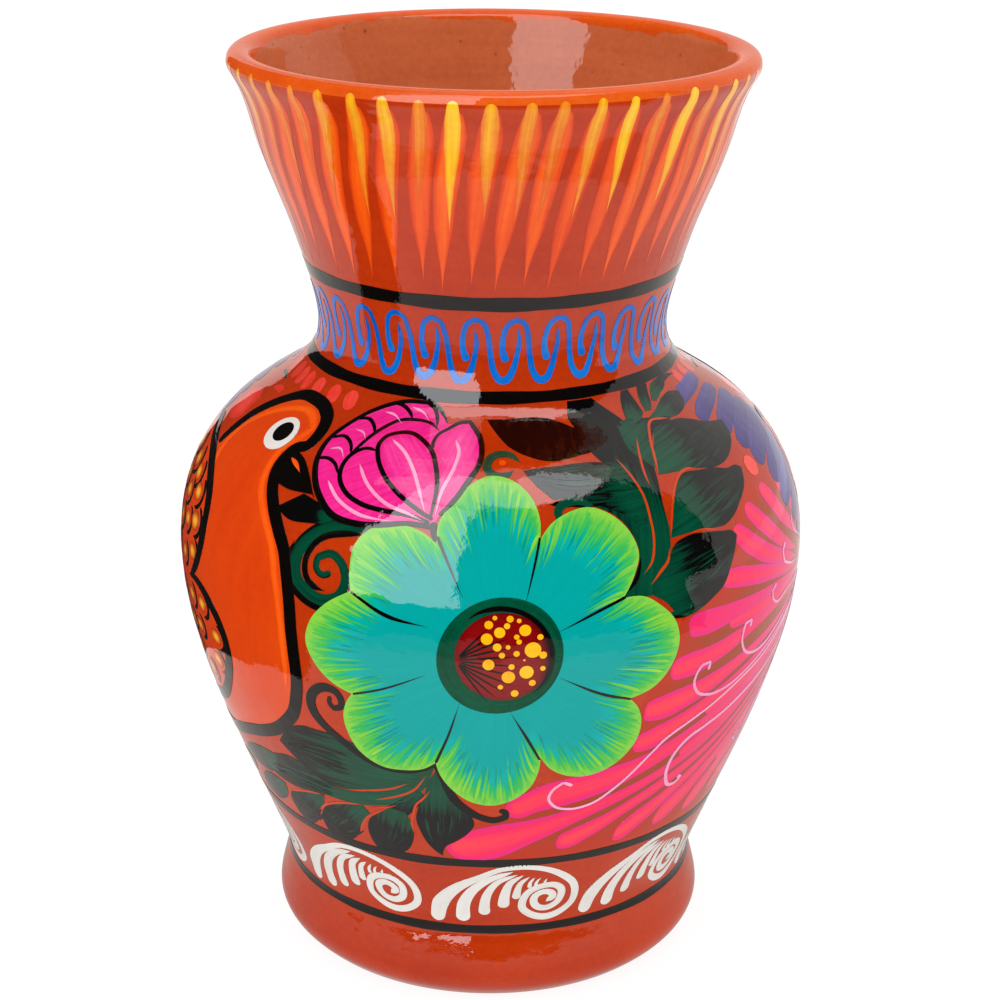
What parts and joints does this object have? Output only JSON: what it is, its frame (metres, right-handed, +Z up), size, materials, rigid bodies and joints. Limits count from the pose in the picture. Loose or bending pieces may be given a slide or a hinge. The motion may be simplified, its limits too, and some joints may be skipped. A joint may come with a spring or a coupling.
{
  "type": "painted earthenware vase",
  "caption": "Round-bellied earthenware flower vase with a narrow collar, a wide flared mouth and a rolled foot, painted with a bird, a flower, leaves and scrolls.",
  "frame": {"origin": "centre of the ring that the vase stands on, at the table", "axes": "+Z up along the axis of revolution, -Y towards the side that shows the main flower, +X to the viewer's right"},
  "size_m": [0.1748, 0.1748, 0.254],
  "materials": {
    "painted_clay": "orange-red slip over red clay under a clear gloss glaze",
    "inner_clay": "bare red clay under a thin clear glaze",
    "foot_clay": "matt red clay, wiped free of glaze where it stands",
    "black_paint": "black brush line under clear gloss",
    "yellow_paint": "yellow brush stroke under clear gloss",
    "orange_paint": "bright orange brush stroke under clear gloss",
    "blue_paint": "blue brush stroke under clear gloss",
    "petal_paint": "turquoise to lime petal paint under clear gloss",
    "green_paint": "dark green leaf paint under clear gloss",
    "red_paint": "dark red paint under clear gloss",
    "pink_paint": "hot pink and coral feather paint under clear gloss",
    "purple_paint": "purple feather paint under clear gloss",
    "white_paint": "white slip stroke under clear gloss"
  },
  "bodies": {
    "root": {"foot_ring": "foot_clay", "floor_slab": "inner_clay", "foot_wall": "painted_clay", "lower_belly": "painted_clay", "upper_belly": "painted_clay", "neck_collar": "painted_clay", "flared_mouth": "painted_clay", "rim_lip": "painted_clay"}
  },
  "joints": []
}
